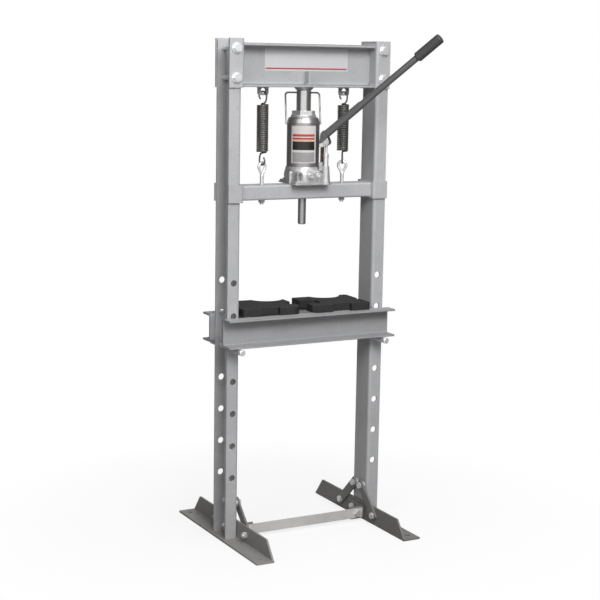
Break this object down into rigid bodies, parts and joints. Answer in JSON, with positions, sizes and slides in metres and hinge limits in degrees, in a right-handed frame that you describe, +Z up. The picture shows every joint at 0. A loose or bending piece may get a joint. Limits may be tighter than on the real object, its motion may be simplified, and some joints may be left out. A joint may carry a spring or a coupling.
{
  "type": "h-frame shop press",
  "caption": "Floor-standing H-frame shop press: a bottle jack pushes a spring-returned ram beam down between two channel uprights onto a height-adjustable bed with arbor plates.",
  "frame": {"origin": "on the floor, in the middle of the rectangle of the four anchor holes in the feet", "axes": "+Z up; +X to the right as seen from the front; the front, with the jack's valve and pump lever, faces -Y"},
  "size_m": [0.497, 0.5191, 1.3193],
  "materials": {
    "frame_paint": "satin hammertone silver paint",
    "zinc_plated": "bright zinc plating",
    "spring_steel": "dark oiled spring wire",
    "cast_plate": "charcoal paint on a rough casting",
    "jack_paint": "glossy silver paint",
    "jack_casting": "silver paint on a sand casting",
    "chromed_steel": "ground and chromed",
    "machined_steel": "turned steel",
    "link_steel": "dark browned steel",
    "lever_paint": "gunmetal paint",
    "bail_wire": "dull plated wire",
    "grip_rubber": "matt black rubber"
  },
  "bodies": {
    "frame": {"left_foot": "frame_paint", "right_foot": "frame_paint", "left_upright": "frame_paint", "right_upright": "frame_paint", "head_beam": "frame_paint", "head_ribs": "frame_paint", "left_head_bracket": "frame_paint", "right_head_bracket": "frame_paint", "left_spring_tab": "frame_paint", "right_spring_tab": "frame_paint", "head_bolts": "zinc_plated", "head_washers": "zinc_plated", "head_nuts": "zinc_plated", "left_front_brace": "frame_paint", "left_rear_brace": "frame_paint", "right_front_brace": "frame_paint", "right_rear_brace": "frame_paint", "brace_spacers": "zinc_plated", "left_tie_clip": "frame_paint", "right_tie_clip": "frame_paint", "tie_bar": "frame_paint", "base_bolts": "zinc_plated", "base_nuts": "zinc_plated"},
    "ram_carriage": {"ram_beam": "frame_paint", "left_guide_sleeve": "frame_paint", "right_guide_sleeve": "frame_paint", "press_pin": "zinc_plated", "left_eye_bolt": "zinc_plated", "right_eye_bolt": "zinc_plated", "eye_bolt_nuts": "zinc_plated", "left_spring": "spring_steel", "right_spring": "spring_steel", "jack_base": "jack_casting", "jack_tank": "jack_paint", "jack_cylinder": "machined_steel", "jack_gland_nut": "jack_paint", "jack_plugs": "zinc_plated", "pump_cylinder": "zinc_plated", "pump_link": "link_steel", "pump_link_pins": "zinc_plated"},
    "jack_piston": {"jack_ram": "chromed_steel", "jack_saddle": "machined_steel"},
    "lever": {"handle_socket": "lever_paint", "lever_lower_tube": "lever_paint", "lever_upper_tube": "lever_paint", "lever_grip": "grip_rubber"},
    "plunger": {"pump_plunger": "zinc_plated", "plunger_pin": "zinc_plated"},
    "valve": {"release_valve": "zinc_plated"},
    "bail": {"jack_bail": "bail_wire"},
    "bed": {"bed_front_channel": "frame_paint", "bed_rear_channel": "frame_paint", "bed_spacers": "frame_paint", "left_arbor_plate": "cast_plate", "right_arbor_plate": "cast_plate"},
    "pin_left": {"left_bed_pin": "zinc_plated"},
    "pin_right": {"right_bed_pin": "zinc_plated"}
  },
  "joints": [
    {"name": "press_stroke", "type": "slide", "parent": "frame", "child": "ram_carriage", "axis": [0, 0, -1], "range_m": [0, 0.075], "stiffness_N_per_m": 2400, "springref_m": -0.068, "deforming": ["left_spring", "right_spring"]},
    {"name": "jack_stroke", "type": "slide", "parent": "ram_carriage", "child": "jack_piston", "axis": [0, 0, 1], "range_m": [0, 0.075]},
    {"name": "pump_lever", "type": "hinge", "parent": "ram_carriage", "child": "lever", "pos_m": [0.0358, -0.03976, 1.0337], "axis": [0.7431, 0.6691, 0], "range_deg": [0, 50]},
    {"name": "pump_plunger", "type": "slide", "parent": "ram_carriage", "child": "plunger", "axis": [0, 0, -1], "range_m": [0, 0.00999]},
    {"name": "release_valve", "type": "hinge", "parent": "ram_carriage", "child": "valve", "pos_m": [-0.006, -0.056, 0.9557], "axis": [0, -1, 0], "range_deg": [0, 180]},
    {"name": "bail_swing", "type": "hinge", "parent": "ram_carriage", "child": "bail", "pos_m": [0, 0, 1.0867], "axis": [-0.9511, 0.309, 0], "range_deg": [0, 120]},
    {"name": "bed_lift", "type": "slide", "parent": "frame", "child": "bed", "axis": [0, 0, 1], "range_m": [0, 0.1716]},
    {"name": "left_pin_pull", "type": "slide", "parent": "frame", "child": "pin_left", "axis": [0, -1, 0], "range_m": [0, 0.15]},
    {"name": "right_pin_pull", "type": "slide", "parent": "frame", "child": "pin_right", "axis": [0, -1, 0], "range_m": [0, 0.15]}
  ],
  "couplings": [
    {"joint": "jack_stroke", "follows": "press_stroke", "ratio": 1},
    {"joint": "pump_plunger", "follows": "pump_lever", "m_per_rad": 0.011221}
  ]
}
